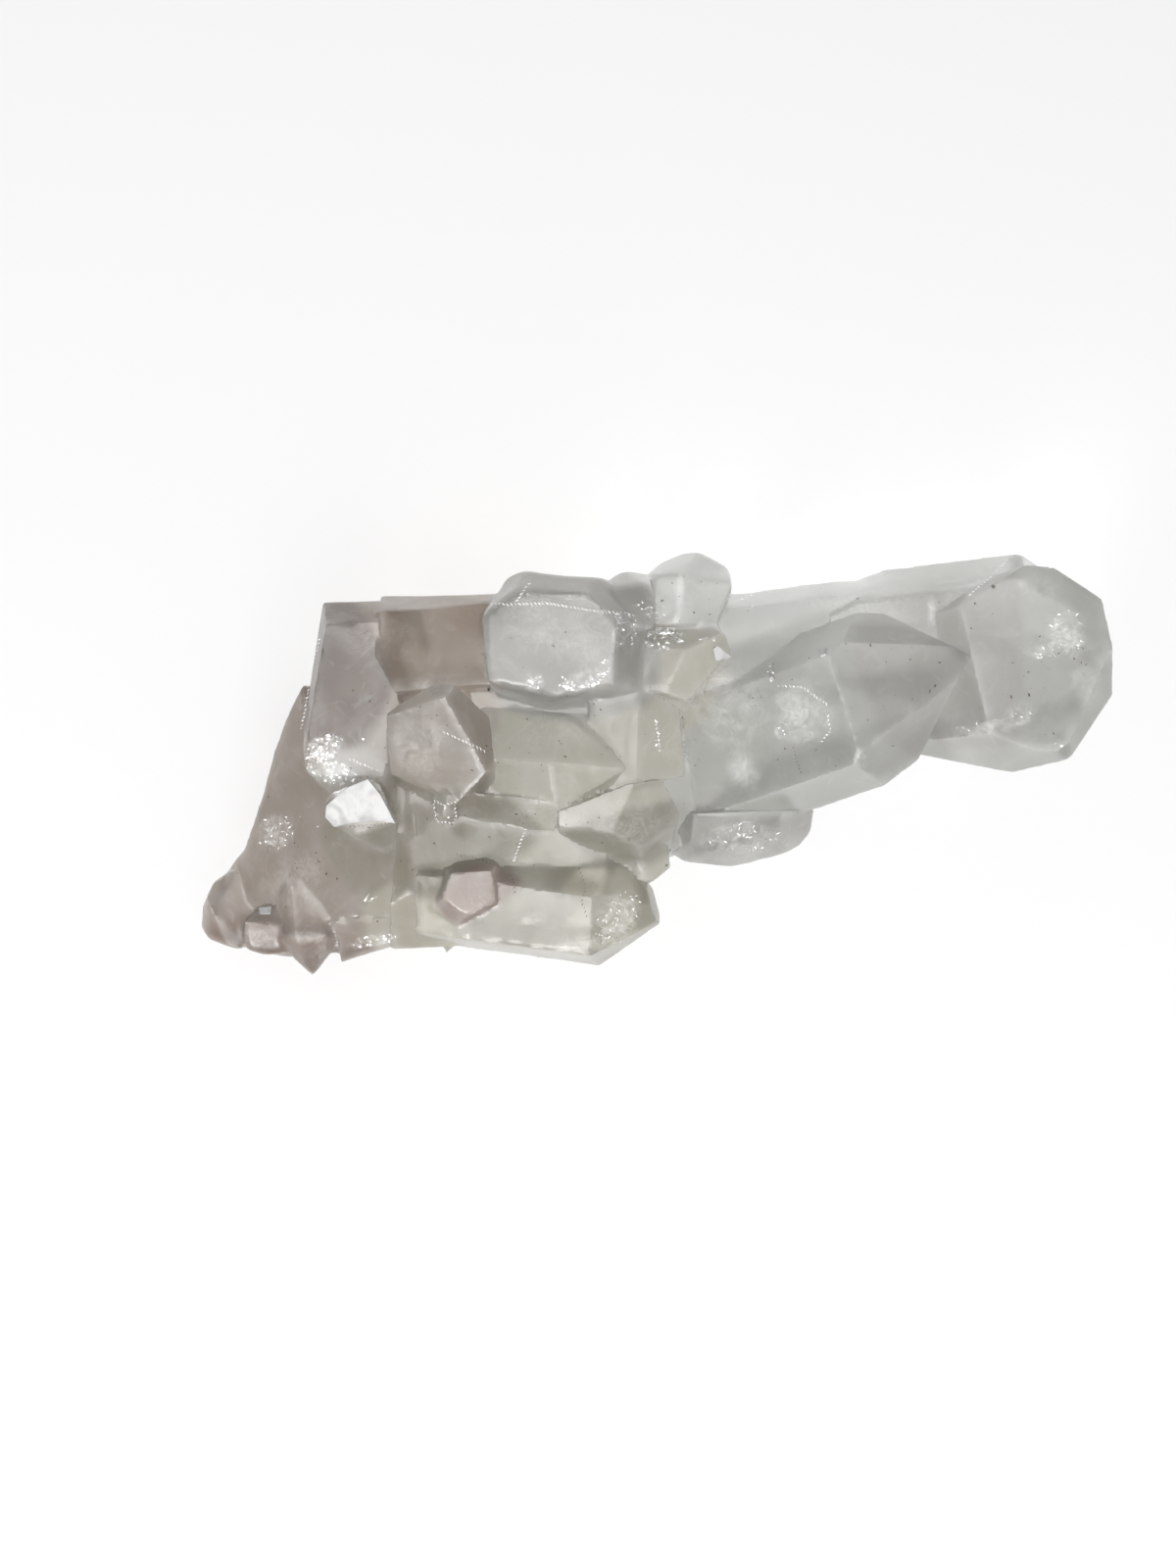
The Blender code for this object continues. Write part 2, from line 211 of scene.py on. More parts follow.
# Dark grains: the sizes of the ones at known places, the least size of dust and how much is added to it at
# most, the depth they lie at, and how thick they are for their size
SMALL_GRAIN = 0.16
LARGE_GRAIN = 0.30
LEAST_DUST = 0.03
MORE_DUST = 0.12
GRAIN_DEPTH = (-0.02, 0.06)
GRAIN_THICKNESS = 0.6


def crystal(name, tip, heading, rise, length, reach, tint, worn=0.3, wavy=0.5, soft=3, lined=0.2):
    """One crystal's long axis and the nature of its surface."""
    return dict(name=name, tip=tip, heading=heading, rise=rise, length=length, reach=reach, tint=tint,
                worn=worn, wavy=wavy, soft=soft, lined=lined)


# The crystals that the surface belongs to: the far end of the long axis, its heading, rise and length,
# how thick the crystal is, and its tint. Worn is how broken its edges are, wavy how far its faces bend,
# soft how much its edges are rounded off, and lined how strong the growth lines across it are.
CRYSTALS = (
    # The tip's tint is painted shade on the big front point's tip facets
    crystal("lead_tip", (43.3, 14.5, 30.0), 20, 34, 12, 11, TIP_PAINTED_SHADE, worn=0.05, wavy=0.15, soft=1),
    crystal("lead", (30.0, 9.6, 20.4), 20, 34, 42, 12, COOL, worn=0.05, wavy=0.3, soft=1, lined=0.5),
    crystal("end", (62.3, 16.0, 27.0), 16, 47, 30, 12, COOL, worn=0.1, wavy=0.3, soft=1, lined=0.4),
    crystal("rear", (61.8, 21.0, 14.0), 6.5, 4, 27, 8, CLEAR, soft=2),
    crystal("stem", (41.3, 23.0, 13.0), 6.5, 3, 46, 6, CLEAR, wavy=0.7, soft=2),
    crystal("centre", (-2.7, -0.5, 33.0), -5, 28, 21, 6, GREENISH, wavy=0.5, soft=1, lined=0.6),
    crystal("lower", (4.0, -19.7, 26.3), -7, 10, 34, 8, GREENISH, wavy=0.4, soft=2, lined=0.4),
    crystal("standing", (-26.2, 8.5, 38.0), 80, 68, 24, 7, STRAW, wavy=0.5, soft=1),
    # The pink tint is partly the quartz's tone, partly a painted warm glow
    crystal("pink", (-20.6, -13.9, 33.5), 42, 56, 13, 4, PINK_TONE_AND_GLOW, worn=0.8, wavy=0.8, soft=2),
    crystal("corner", (-46.2, -29.5, 13.5), 272, 6, 14, 4, RUSSET, worn=0.6, wavy=0.8, soft=3),
    crystal("knob", (-52.6, -23.3, 16.0), 90, 80, 8, 4, RUSSET, worn=0.2, wavy=0.5, soft=9),
    crystal("upper", (-10.5, 17.0, 32.0), 90, 70, 24, 10, SLATE, worn=0.5, wavy=1.4, soft=6),
    crystal("peak", (6.0, 24.0, 26.0), 60, 70, 20, 5, CLEAR, worn=0.8, wavy=1.2, soft=8),
    crystal("dusky", (-28.5, 17.0, 26.0), 90, 80, 20, 7, DUSKY, wavy=0.7, soft=2),
    crystal("left", (-40.5, 12.0, 28.0), 95, 80, 22, 6, BROWN, worn=0.5, wavy=0.3, soft=1),
    crystal("bright", (-38.6, -6.8, 24.0), -100, 60, 12, 6, CLEAR, worn=0.0, wavy=0.0, soft=0, lined=0.0),
    # The warm tint is partly the quartz's tone, partly a painted warm glow
    crystal("flank", (-50.0, -12.0, 16.0), -120, 20, 20, 12, WARM_TONE_AND_GLOW, worn=1.0, wavy=1.3, soft=3),
    crystal("slab", (-24.0, -10.0, 26.0), 0, 10, 20, 8, OLIVE, worn=0.6, wavy=0.9, soft=2),
    crystal("middle", (-2.0, -9.0, 30.0), -40, 70, 18, 6, OLIVE, worn=0.5, wavy=0.7, soft=2),
    crystal("grooved", (20.0, -10.0, 13.0), 0, 5, 18, 5, SLATE, worn=0.6, wavy=0.8, soft=3, lined=1.0),
    crystal("glint", (5.0, 13.5, 24.0), 90, 60, 14, 5, GREENISH, worn=0.6, wavy=0.7, soft=2),
    crystal("saddle", (-1.0, 4.0, 22.0), 0, 80, 14, 6, GREENISH, worn=0.5, wavy=0.7, soft=3),
)

# Veils are thin clouds in the quartz: the pixel at the middle, the reach across and down in pixels, the
# turn of that oval in degrees, and how thick the cloud is
VEILS = (
    # The big front point
    ((820, 728), (34, 36), 20, 0.75), ((745, 722), (52, 46), 10, 0.45), ((879, 773), (9, 12), 0, 0.8),
    ((758, 787), (17, 27), 20, 0.6), ((917, 790), (30, 10), 25, 0.4), ((797, 747), (10, 9), 0, 0.9),
    # The end point and the one behind it
    ((1088, 648), (20, 26), 10, 0.95), ((1076, 663), (34, 10), 12, 0.8), ((1040, 730), (20, 12), 15, 0.6),
    ((1010, 742), (42, 9), 8, 0.7), ((1060, 600), (34, 14), 0, 0.3), ((1110, 700), (18, 24), 20, 0.45),
    # The stem, then the peak and the crystal in front of it
    ((880, 610), (62, 13), 6, 0.5), ((950, 624), (5, 17), 0, 0.8), ((1000, 590), (30, 14), 30, 0.4),
    ((670, 622), (16, 14), 0, 0.9), ((702, 600), (32, 26), 20, 0.45), ((678, 652), (22, 12), 10, 1.0),
    # The upper crystal
    ((585, 655), (46, 32), 0, 0.3), ((638, 646), (15, 20), 0, 0.8), ((545, 696), (11, 10), 0, 1.0),
    ((600, 692), (30, 10), 20, 0.8), ((545, 640), (26, 34), 60, 0.35),
    # The left crystals and the slope below them
    ((331, 763), (20, 13), 20, 1.0), ((337, 788), (28, 13), -10, 0.9), ((281, 850), (22, 18), 45, 0.8),
    ((300, 900), (40, 30), 30, 0.3), ((430, 760), (32, 36), 0, 0.4), ((442, 700), (24, 13), 5, 0.5),
    # The lower edge, from the lower point to both sides
    ((630, 940), (24, 34), -30, 1.0), ((542, 938), (15, 8), 0, 0.6), ((590, 965), (40, 12), 10, 0.5),
    ((755, 853), (42, 20), 4, 0.6), ((380, 960), (25, 7), 10, 0.8), ((325, 965), (22, 24), 10, 0.4),
    # Thin ones all over
    ((565, 745), (45, 20), 0, 0.35), ((560, 830), (50, 18), -5, 0.3), ((640, 840), (35, 25), 0, 0.4),
    ((265, 955), (22, 16), 0, 0.5), ((390, 650), (40, 26), 0, 0.2), ((490, 925), (20, 16), 0, 0.35),
    ((690, 760), (24, 26), 0, 0.35),
)

# Cracks are crowds of flakes: the same oval, then how many flakes, how large, and how much longer than wide
CRACKS = (
    # The left crystals and the slope below them
    ((331, 763), (20, 12), 25, 190, 0.30, 1.8), ((338, 788), (26, 11), -12, 130, 0.26, 2.0),
    ((378, 755), (8, 6), 0, 12, 0.20, 1.2), ((281, 850), (20, 18), 45, 70, 0.15, 4.0),
    ((298, 852), (34, 16), 20, 26, 0.14, 1.3), ((378, 918), (9, 7), 60, 8, 0.20, 6.0),
    # The upper crystal
    ((545, 696), (9, 8), 0, 50, 0.28, 1.6), ((582, 700), (14, 5), 0, 50, 0.24, 1.8),
    ((606, 694), (14, 6), 30, 50, 0.24, 1.8), ((618, 680), (6, 8), 0, 20, 0.20, 1.5),
    ((638, 645), (14, 18), 0, 60, 0.20, 1.4), ((635, 630), (8, 5), 0, 24, 0.30, 1.4),
    # The peak and the crystals in front of it
    ((678, 652), (20, 10), 10, 110, 0.28, 2.0), ((670, 620), (13, 11), 0, 34, 0.18, 2.0),
    ((653, 618), (3, 8), 0, 10, 0.20, 1.6), ((764, 614), (7, 10), 0, 14, 0.22, 1.4),
    ((720, 655), (10, 6), 0, 20, 0.20, 1.3), ((671, 750), (3, 17), 0, 26, 0.16, 2.2),
    ((787, 685), (3, 10), 0, 14, 0.24, 2.0), ((797, 746), (5, 5), 0, 9, 0.20, 1.3),
    # The end point
    ((1088, 640), (16, 20), 10, 50, 0.13, 4.0), ((1078, 662), (30, 7), 12, 50, 0.12, 4.0),
    ((1010, 741), (38, 6), 8, 50, 0.12, 4.0), ((1040, 730), (16, 8), 15, 26, 0.12, 4.0),
    ((1081, 758), (7, 6), 0, 14, 0.18, 1.3),
    # The lower edge, then single ones
    ((630, 938), (18, 34), -35, 200, 0.07, 6.0), ((380, 960), (24, 6), 10, 70, 0.22, 1.6),
    ((755, 853), (40, 16), 4, 60, 0.10, 8.0), ((398, 731), (3, 4), 0, 5, 0.18, 1.2),
    ((830, 602), (10, 4), 0, 12, 0.16, 1.3), ((454, 828), (10, 9), 0, 14, 0.18, 1.4),
)

# Painted glints: flat white plates standing in for facets that catch the light, each by the pixels of its
# corners: the large one at the left, then the small ones
PAINTED_GLINTS = (
    ((333, 822), (354, 804), (375, 795), (388, 811), (403, 840), (380, 837), (357, 840), (341, 844),
     (332, 834)),
    ((728, 662), (732, 659), (747, 671), (731, 674)), ((264, 926), (277, 925), (276, 932), (265, 932)),
    ((628, 627), (641, 626), (643, 634), (632, 636)), ((835, 663), (843, 661), (842, 667), (837, 669)),
    ((784, 677), (789, 675), (788, 690), (785, 692)),
)

# Threads, each by the pixels that it runs through
BRIGHT_LINES = (
    ((327, 650), (317, 690), (308, 745)), ((355, 773), (370, 780), (386, 786)),
    ((451, 746), (474, 756), (496, 767)), ((540, 594), (533, 604), (527, 615)),
    ((500, 617), (560, 616), (600, 622), (648, 628)), ((572, 690), (588, 701), (606, 700), (622, 684)),
    ((668, 734), (671, 750), (673, 768)), ((537, 845), (530, 862), (524, 880)), ((470, 608), (496, 607)),
    ((906, 800), (920, 792), (934, 778)), ((915, 803), (927, 794), (938, 783)),
    ((793, 700), (820, 702), (845, 720)), ((1032, 568), (1010, 590), (989, 608)),
    ((442, 817), (452, 822), (466, 818)), ((443, 818), (445, 838), (464, 839)), ((464, 820), (465, 838)),
    ((845, 728), (848, 745), (838, 758)),
)
DARK_LINES = (
    ((590, 885), (597, 905), (594, 920), (600, 936)), ((809, 761), (813, 775), (818, 789)),
    ((465, 872), (480, 874), (495, 880), (510, 884), (521, 893)), ((521, 893), (525, 903), (526, 912)),
    ((355, 843), (380, 841), (402, 840)), ((360, 812), (372, 822), (388, 818)),
)

# Dark grains at known pixels, and ovals of dust: the middle, the reach, the turn and how many grains
SMALL_SPECKS = ((426, 675), (378, 715), (393, 701), (421, 809), (443, 860), (333, 892), (385, 940),
                (995, 616), (991, 641), (954, 700), (949, 706), (274, 813))
LARGE_SPECKS = ((499, 703), (1014, 599))
DUST = (
    ((440, 780), (150, 110), 20, 110), ((620, 800), (110, 120), 0, 110), ((560, 640), (60, 30), 0, 20),
    ((860, 720), (110, 60), 20, 60), ((1050, 680), (60, 80), 0, 44), ((700, 610), (40, 30), 0, 24),
    ((300, 900), (60, 60), 0, 44), ((900, 610), (80, 15), 5, 14),
)


def direction(heading, rise):
    """Unit vector with this heading and rise in degrees."""
    level = math.cos(math.radians(rise))
    turn = math.radians(heading)
    return Vector((level * math.cos(turn), level * math.sin(turn), math.sin(math.radians(rise))))


def turned(x, y, angle):
    """A place in a plane, turned about the plane's middle."""
    return x * math.cos(angle) - y * math.sin(angle), x * math.sin(angle) + y * math.cos(angle)


def solid_net():
    """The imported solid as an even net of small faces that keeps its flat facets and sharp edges."""
    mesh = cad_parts["quartz_cluster"].data.copy()
    shape = bmesh.new()
    shape.from_mesh(mesh)
    bmesh.ops.remove_doubles(shape, verts=shape.verts, dist=1e-6)
    shape.to_mesh(mesh)
    shape.free()
    holder = bpy.data.objects.new("holder", mesh)
    bpy.context.scene.collection.objects.link(holder)
    step = holder.modifiers.new("net", "REMESH")
    step.mode = "SHARP"
    step.octree_depth = NET_DEPTH
    step.scale = NET_FILL
    step.sharpness = 1.0
    net = bpy.data.meshes.new_from_object(holder.evaluated_get(bpy.context.evaluated_depsgraph_get()))
    bpy.data.objects.remove(holder)
    return net


def noise_vectors(points, spacing, seed):
    """A smooth random vector for each point. Its swings are about this far apart."""
    shift = Vector((seed * 17.3, seed * 9.1, seed * 5.7))
    return np.array([noise.noise_vector(Vector(point) / spacing + shift) for point in points])


def noise_values(points, spacing, seed):
    """A smooth random number from -1 to 1 for each point."""
    shift = Vector((seed * 13.7, seed * 3.9, seed * 7.1))
    return np.array([noise.noise(Vector(point) / spacing + shift) for point in points])


class Net:
    """A mesh's corners and edges as arrays, in millimetres."""

    def __init__(self, mesh):
        self.mesh = mesh
        count = len(mesh.vertices)
        self.points = np.zeros(count * 3)
        mesh.vertices.foreach_get("co", self.points)
        self.points = self.points.reshape(-1, 3) / MM
        self.edges = np.zeros(len(mesh.edges) * 2, np.int64)
        mesh.edges.foreach_get("vertices", self.edges)
        self.edges = self.edges.reshape(-1, 2)
        self.degree = np.bincount(self.edges.ravel(), minlength=count).astype(float)
        self.normals = np.zeros(count * 3)
        mesh.vertices.foreach_get("normal", self.normals)
        self.normals = self.normals.reshape(-1, 3)

    def average(self, values):
        """For each corner, the mean of the values at the corners it joins."""
        first, second = self.edges[:, 0], self.edges[:, 1]
        columns = values[:, None] if values.ndim == 1 else values
        total = np.empty_like(columns)
        for k in range(columns.shape[1]):
            column = columns[:, k]
            total[:, k] = np.bincount(first, column[second], len(column))
            total[:, k] += np.bincount(second, column[first], len(column))
        return (total / self.degree[:, None]).reshape(values.shape)

    def spread(self, values, rounds):
        """Blurs values over the net."""
        for _ in range(rounds):
            values = 0.5 * values + 0.5 * self.average(values)
        return values

    def write(self):
        """Puts the moved corners back in the mesh, in metres."""
        self.mesh.vertices.foreach_set("co", (self.points * MM).ravel())
        self.mesh.update()
        self.mesh.shade_smooth()
        self.mesh.set_sharp_from_angle(angle=math.radians(SHARP_ANGLE))


def shares(points):
    """Which crystal each point belongs to, and how far it lies along that crystal's axis from the tip."""
    gaps = []
    alongs = []
    for one in CRYSTALS:
        axis = np.array(direction(one["heading"], one["rise"]))
        offset = points - np.array(one["tip"])
        along = -offset @ axis
        held = np.clip(along, 0.0, one["length"])
        gaps.append(np.linalg.norm(offset + held[:, None] * axis, axis=1) - one["reach"])
        alongs.append(along)
    owner = np.argmin(np.array(gaps), axis=0)
    return owner, np.array(alongs)[owner, np.arange(len(points))]


def nature(net, owner, name):
    """One value of the crystals' nature for each corner, blurred where crystals meet."""
    return net.spread(np.array([CRYSTALS[k][name] for k in owner], float), NATURE_BLUR)


def folded(net, depth, rounds):
    """How far each corner is in a fold of this depth, from 0 to 1, blurred over the net."""
    return np.clip(net.spread(np.clip(depth, 0.0, 2 * FULL_FOLD) / FULL_FOLD, rounds), 0.0, 1.0)


def bend_faces(net, wavy, ragged):
    """Bends the faces, and most of all where crystals meet."""
    net.points += noise_vectors(net.points, BROAD_BEND, seed=1) * (BROAD_REACH * wavy)[:, None]
    close = CLOSE_REACH * wavy + SEAM_REACH * ragged
    net.points += noise_vectors(net.points, CLOSE_BEND, seed=2) * close[:, None]
    net.points += noise_vectors(net.points, RAGGED_BEND, seed=4) * (RAGGED_REACH * ragged)[:, None]


def chip_edges(net, ridge, worn):
    """Takes small chips off the edges of worn crystals."""
    chips = noise_values(net.points, CHIP_SPACING, seed=3) * CHIP_CONTRAST + CHIP_COVER
    net.points -= net.normals * (ridge * np.clip(chips, 0.0, 1.0) * CHIP_DEPTH * worn)[:, None]


def soften(net, soft):
    """Rounds the edges off, in as many rounds as each crystal's nature asks."""
    for round_number in range(int(soft.max())):
        pull = np.clip(soft - round_number, 0.0, 1.0) * SOFT_PULL
        net.points += (net.average(net.points) - net.points) * pull[:, None]


def line_across(net, along, lined):
    """Raises and sinks the growth lines that run across the crystals."""
    steps = np.array([noise.noise(Vector((value / GROWTH_SPACING, value / GROWTH_DRIFT, 4.7)))
                      for value in along])
    net.points += net.normals * (steps * GROWTH_DEPTH * lined)[:, None]


def shape_surface(net):
    """Bends, chips, rounds and lines the surface as each crystal's own nature asks."""
    owner, along = shares(net.points)
    worn = nature(net, owner, "worn")
    wavy = nature(net, owner, "wavy")
    soft = nature(net, owner, "soft")
    lined = nature(net, owner, "lined")
    lean = net.average(net.points) - net.points
    bend = np.einsum("ij,ij->i", lean, net.normals)
    hollow = folded(net, bend, rounds=4)
    ridge = folded(net, -bend, rounds=2)
    # Ragged near the hollows where crystals meet, except on crystals with unbent faces
    ragged = np.clip(net.spread(hollow, 8) * 2.0, 0.0, 1.0) * np.clip(wavy * 4.0, 0.0, 1.0)
    bend_faces(net, wavy, ragged)
    chip_edges(net, ridge, worn)
    soften(net, soft)
    line_across(net, along, lined)
    low, high = (np.array(corner) / MM for corner in cad_box)
    net.points = np.clip(net.points, low, high)
    net.write()
    return owner, along, ridge, hollow


def add_colour(mesh, name, values):
    """Stores a colour for each corner of a mesh."""
    layer = mesh.color_attributes.new(name, "FLOAT_COLOR", "POINT")
    data = np.ones((len(values), 4))
    data[:, :3] = values
    layer.data.foreach_set("color", data.ravel())


def add_number(mesh, name, values):
    """Stores a number for each corner of a mesh."""
    layer = mesh.attributes.new(name, "FLOAT", "POINT")
    layer.data.foreach_set("value", np.asarray(values, np.float32))


class Graph:
    """Short calls that add shader nodes to one material."""

    def __init__(self, name):
        self.material = bpy.data.materials.new(name)
        self.material.use_nodes = True
        self.tree = self.material.node_tree
        self.shader = self.tree.nodes["Principled BSDF"]
        self.output = self.tree.nodes["Material Output"]

    def node(self, kind, inputs=(), **settings):
        """A node of this kind. Each of its inputs is a value or another node's output."""
        made = self.tree.nodes.new("ShaderNode" + kind)
        for key, value in settings.items():
            setattr(made, key, value)
        for key, value in dict(inputs).items():
            self.fill(made.inputs[key], value)
        return made

    def fill(self, socket, value):
        """Gives an input a value, or links it to another node's output."""
        if isinstance(value, bpy.types.NodeSocket):
            self.tree.links.new(value, socket)
        else:
            socket.default_value = value

    def set(self, **values):
        """Fills inputs of the shader, with _ for each space in their names."""
        for key, value in values.items():
            self.fill(self.shader.inputs[key.replace("_", " ")], value)

    def place(self):
        """Where a point lies on the object."""
        return self.node("TexCoord").outputs["Object"]

    def attribute(self, name, output="Fac"):
        """A number stored on the mesh, or a colour with output Color."""
        return self.node("Attribute", attribute_name=name).outputs[output]

    def noise(self, scale, detail, roughness=0.55, vector=None, distortion=0.0):
        """Noise with this many swings in each unit of the vector, which is a metre unless one is given."""
        inputs = {"Scale": scale, "Detail": detail, "Roughness": roughness, "Distortion": distortion,
                  "Vector": vector or self.place()}
        return self.node("TexNoise", inputs).outputs["Fac"]

    def math(self, operation, first, second):
        """Two numbers joined by an operation."""
        return self.node("Math", {0: first, 1: second}, operation=operation).outputs[0]

    def ramp(self, value, low, high, start=0.0, end=1.0):
        """A smooth step from start to end as the value goes from low to high."""
        inputs = {"Value": value, "From Min": low, "From Max": high, "To Min": start, "To Max": end}
        return self.node("MapRange", inputs, interpolation_type="SMOOTHSTEP").outputs["Result"]

    def mix(self, share, first, second):
        """Two colours mixed. Sockets 0, 6 and 7 are the node's share and its two colours."""
        made = self.node("Mix", data_type="RGBA")
        for number, value in ((0, share), (6, first), (7, second)):
            self.fill(made.inputs[number], value)
        return made.outputs[2]

    def bump(self, height, distance, strength, normal=None):
        """A bump of this height in metres, on top of another one if it is given."""
        inputs = {"Height": height, "Distance": distance, "Strength": strength}
        if normal:
            inputs["Normal"] = normal
        return self.node("Bump", inputs).outputs["Normal"]


def quartz_material():
    """Quartz: part see-through, part milky, with clouds, growth lines and a satin skin."""
    g = Graph("quartz")
    g.set(IOR=IOR, Transmission_Weight=0.62, Subsurface_Weight=1.0, Subsurface_Scale=0.003,
          Subsurface_Radius=(1.0, 1.0, 1.0), Coat_Weight=0.3, Coat_Roughness=0.06)
    clouds = g.ramp(g.noise(110.0, 4.0, 0.5, distortion=0.8), 0.40, 0.75)
    wisps = g.ramp(g.noise(260.0, 5.0, 0.6, distortion=2.0), 0.52, 0.70)
    streaks = g.ramp(g.noise(420.0, 6.0, 0.7, distortion=3.0), 0.46, 0.60)
    pale = g.math("ADD", g.math("MULTIPLY", clouds, CLOUD_SHARE), g.math("MULTIPLY", wisps, WISP_SHARE))
    milk = g.mix(pale, g.attribute("tint", "Color"), MILK)
    broken = g.math("MULTIPLY", g.attribute("broken"), g.math("MULTIPLY", streaks, STREAK_SHARE))
    frost = g.math("MINIMUM", g.math("ADD", g.attribute("frost"), broken), 1.0)
    satin = g.ramp(g.noise(150.0, 4.0, 0.6), 0.35, 0.75, 0.28, 0.36)
    along = g.node("CombineXYZ", {"X": g.math("MULTIPLY", g.attribute("along"), LINES_PER_MM)}).outputs[0]
    lines = g.bump(g.noise(1.0, 4.0, 0.7, vector=along), LINE_BUMP, g.attribute("lined"))
    g.set(Base_Color=g.mix(frost, milk, FROST))
    g.set(Roughness=g.math("ADD", satin, g.math("MULTIPLY", frost, FROST_ROUGHNESS)))
    g.set(Normal=g.bump(g.noise(700.0, 3.0, 0.6), SKIN_BUMP, 0.6, lines))
    haze = g.node("VolumeAbsorption", {"Color": HAZE, "Density": HAZE_DENSITY})
    g.fill(g.output.inputs["Volume"], haze.outputs[0])
    return g.material


def veil_material():
    """A thin cloud of fine bubbles: white, and see-through where it thins out."""
    g = Graph("veil")
    broad = g.ramp(g.noise(300.0, 5.0, 0.65, distortion=1.5), 0.35, 0.65)
    fine = g.ramp(g.noise(1500.0, 3.0, 0.6), 0.35, 0.65, 0.5, 1.0)
    cover = g.math("MULTIPLY", g.math("MULTIPLY", broad, fine), g.attribute("thick"))
    g.set(Base_Color=MILK, Roughness=0.8, IOR=1.4, Alpha=cover)
    g.material.surface_render_method = "BLENDED"
    return g.material


def flake_material(name, metallic, shade):
    """The bright inner wall of a crack."""
    g = Graph(name)
    gloss = g.ramp(g.noise(2500.0, 2.0), 0.3, 0.7, 0.15, 0.40)
    g.set(Metallic=metallic, Base_Color=(shade, shade, shade, 1.0), Roughness=gloss)
    return g.material


def painted_glint_material():
    """Painted glint: a flat white plate, a little clouded, standing in for a facet that catches the light."""
    g = Graph("painted_glint")
    clouds = g.ramp(g.noise(280.0, 4.0, 0.6, distortion=0.6), 0.35, 0.65)
    g.set(Roughness=0.7, Base_Color=g.mix(clouds, GLINT_GREY, GLINT_WHITE))
    return g.material


def speck_material():
    """Dark dust caught in the quartz."""
    g = Graph("speck")
    grain = g.ramp(g.noise(900.0, 2.0), 0.35, 0.65)
    g.set(Roughness=0.85, Base_Color=g.mix(grain, DUST_DARK, DUST_LIGHT))
    return g.material


def add_piece(name, mesh, material):
    """Adds a mesh as a piece of the cluster."""
    thing = bpy.data.objects.new(name, mesh)
    bpy.context.scene.collection.objects.link(thing)
    mesh.materials.clear()
    mesh.materials.append(material)
    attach(thing, "root")
    return thing


def make_cluster():
    """Makes the quartz itself, and gives back its skin for finding places on it."""
    mesh = solid_net()
    net = Net(mesh)
    owner, along, ridge, hollow = shape_surface(net)
    tints = np.array([CRYSTALS[k]["tint"] for k in owner])
    frost = net.spread(np.clip(hollow * HOLLOW_FROST + ridge * RIDGE_FROST, 0.0, 1.0), 3)
    add_colour(mesh, "tint", net.spread(tints, TINT_BLUR))
    add_number(mesh, "along", along)
    add_number(mesh, "lined", nature(net, owner, "lined"))
    add_number(mesh, "frost", frost)
    add_number(mesh, "broken", broken_share(net))
    cluster = add_piece("cluster", mesh, quartz_material())
    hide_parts("quartz_cluster")
    # Real quartz passes most light on. A full shadow would be far too dark, so this piece casts none.
    cluster.visible_shadow = False
    faces = [tuple(face.vertices) for face in mesh.polygons]
    return BVHTree.FromPolygons([Vector(point) for point in net.points], faces)


def pixels_of(points):
    """Where points show in the photograph, as pixels across and down."""
    scale = PIXELS_PER_MM * FOCUS_DISTANCE / (CAMERA_PLACE.z - points[:, 2])
    across = PHOTO_SIZE[0] / 2 + (points[:, 0] - CAMERA_PLACE.x) * scale
    down = PHOTO_SIZE[1] / 2 - (points[:, 1] - CAMERA_PLACE.y) * scale
    return across, down


def broken_share(net):
    """How broken and white the skin is at each corner: most on level faces near the middle of a veil."""
    across, down = pixels_of(net.points)
    share = np.zeros(len(net.points))
    for at, reach, turn, thick in VEILS:
        lean = math.radians(turn)
        x, y = across - at[0], at[1] - down
        far = ((x * math.cos(lean) + y * math.sin(lean)) / reach[0]) ** 2
        far += ((y * math.cos(lean) - x * math.sin(lean)) / reach[1]) ** 2
        share = np.maximum(share, thick * np.clip(BROKEN_END - far, 0.0, 1.0))
    return share * np.clip(net.normals[:, 2] * STEEP, 0.0, 1.0)


def sight_to(pixel):
    """The way from the camera to a pixel."""
    across = (pixel[0] - PHOTO_SIZE[0] / 2) / PIXELS_PER_MM
    up = (PHOTO_SIZE[1] / 2 - pixel[1]) / PIXELS_PER_MM
    return Vector((across, up, -FOCUS_DISTANCE)).normalized()


def look_at(skin, pixel):
    """The place on the skin that shows at a pixel and the way it faces, or None for both."""
    place, normal, _, _ = skin.ray_cast(CAMERA_PLACE, sight_to(pixel))
    return place, normal


def look_under(skin, pixel, depth):
    """The point this deep in the quartz that shows at a pixel, along the bent line of sight, or None."""
    place, normal = look_at(skin, pixel)
    if place is None:
        return None
    sight = sight_to(pixel)
    facing = -sight.dot(normal)
    bent = sight / IOR + normal * (facing / IOR - math.sqrt(1.0 - (1.0 - facing ** 2) / IOR ** 2))
    return place + bent * depth


class Scraps:
    """Many small closed shapes gathered into one mesh. Lengths are in millimetres."""

    def __init__(self):
        self.corners = []
        self.faces = []
        self.numbers = []

    def block(self, lower, upper):
        """A closed block between two rings of corners, both anticlockwise seen from the upper one's side."""
        first = len(self.corners)
        count = len(lower)
        self.corners += lower + upper
        self.faces.append(tuple(first + k for k in reversed(range(count))))
        self.faces.append(tuple(first + count + k for k in range(count)))
        for k in range(count):
            after = (k + 1) % count
            self.faces.append((first + k, first + after, first + count + after, first + count + k))

    def flake(self, centre, normal, outline, thickness):
        """A thin flat flake. The outline is a list of places across and up its own plane."""
        turn = normal.to_track_quat("Z", "Y")
        lower, upper = ([centre + turn @ Vector((x, y, side * thickness)) for x, y in outline]
                        for side in (-0.5, 0.5))
        self.block(lower, upper)

    def mesh(self, name):
        """The gathered shapes as one mesh, in metres."""
        made = bpy.data.meshes.new(name)
        made.from_pydata([corner * MM for corner in self.corners], [], self.faces)
        if self.numbers:
            add_number(made, "thick", self.numbers)
        return made


